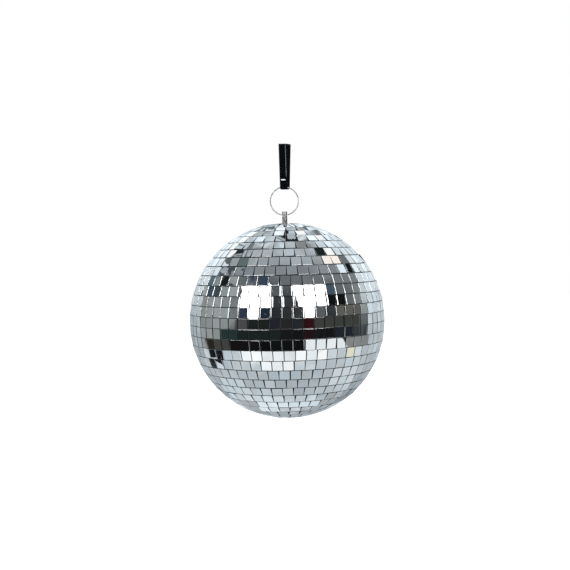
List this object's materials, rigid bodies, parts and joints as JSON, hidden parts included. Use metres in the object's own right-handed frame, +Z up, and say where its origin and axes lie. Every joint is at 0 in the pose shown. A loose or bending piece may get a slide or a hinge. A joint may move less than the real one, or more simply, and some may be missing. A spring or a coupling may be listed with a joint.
{
  "type": "mirror ball",
  "caption": "Hanging ball covered in rows of small square mirror tiles, with a swivel post, a split ring and a black ribbon loop.",
  "frame": {"origin": "hanging point: the middle of the ribbon's inner face at the top of its loop", "axes": "+Z up; the ball hangs below on -Z and turns about Z; the split ring lies in the XZ plane; -Y is the front, where the staple shows"},
  "size_m": [0.2, 0.2, 0.2806],
  "materials": {
    "mirror_tile": "polished",
    "core": "matte",
    "hanger": "nickel plated, satin",
    "ring": "polished nickel",
    "bush": "natural nylon",
    "ribbon": "glossy satin ribbon",
    "staple": "bright zinc"
  },
  "bodies": {
    "ribbon_loop": {"strap": "ribbon", "strap_staple": "staple"},
    "ring": {"split_ring": "ring"},
    "hanger": {"hanger_post": "hanger", "thrust_washer": "hanger", "retaining_clip": "hanger"},
    "ball": {"tile_row_upper_01": "mirror_tile", "tile_row_upper_02": "mirror_tile", "tile_row_upper_03": "mirror_tile", "tile_row_upper_04": "mirror_tile", "tile_row_upper_05": "mirror_tile", "tile_row_upper_06": "mirror_tile", "tile_row_upper_07": "mirror_tile", "tile_row_upper_08": "mirror_tile", "tile_row_upper_09": "mirror_tile", "tile_row_upper_10": "mirror_tile", "tile_row_upper_11": "mirror_tile", "tile_row_upper_12": "mirror_tile", "tile_row_upper_13": "mirror_tile", "tile_row_upper_14": "mirror_tile", "tile_row_lower_01": "mirror_tile", "tile_row_lower_02": "mirror_tile", "tile_row_lower_03": "mirror_tile", "tile_row_lower_04": "mirror_tile", "tile_row_lower_05": "mirror_tile", "tile_row_lower_06": "mirror_tile", "tile_row_lower_07": "mirror_tile", "tile_row_lower_08": "mirror_tile", "tile_row_lower_09": "mirror_tile", "tile_row_lower_10": "mirror_tile", "tile_row_lower_11": "mirror_tile", "tile_row_lower_12": "mirror_tile", "tile_row_lower_13": "mirror_tile", "tile_row_lower_14": "mirror_tile", "bottom_mirror": "mirror_tile", "core_upper": "core", "core_lower": "core", "hub_bush": "bush", "top_cap": "hanger"}
  },
  "joints": [
    {"name": "ring_swing", "type": "hinge", "parent": "ribbon_loop", "child": "ring", "pos_m": [0, 0, -0.0433], "axis": [1, 0, 0], "range_deg": [-60, 60]},
    {"name": "post_swing", "type": "hinge", "parent": "ring", "child": "hanger", "pos_m": [0, 0, -0.0722], "axis": [1, 0, 0], "range_deg": [-60, 60]},
    {"name": "ball_spin", "type": "hinge", "parent": "hanger", "child": "ball", "pos_m": [0, 0, -0.1803], "axis": [0, 0, 1], "continuous": true}
  ]
}
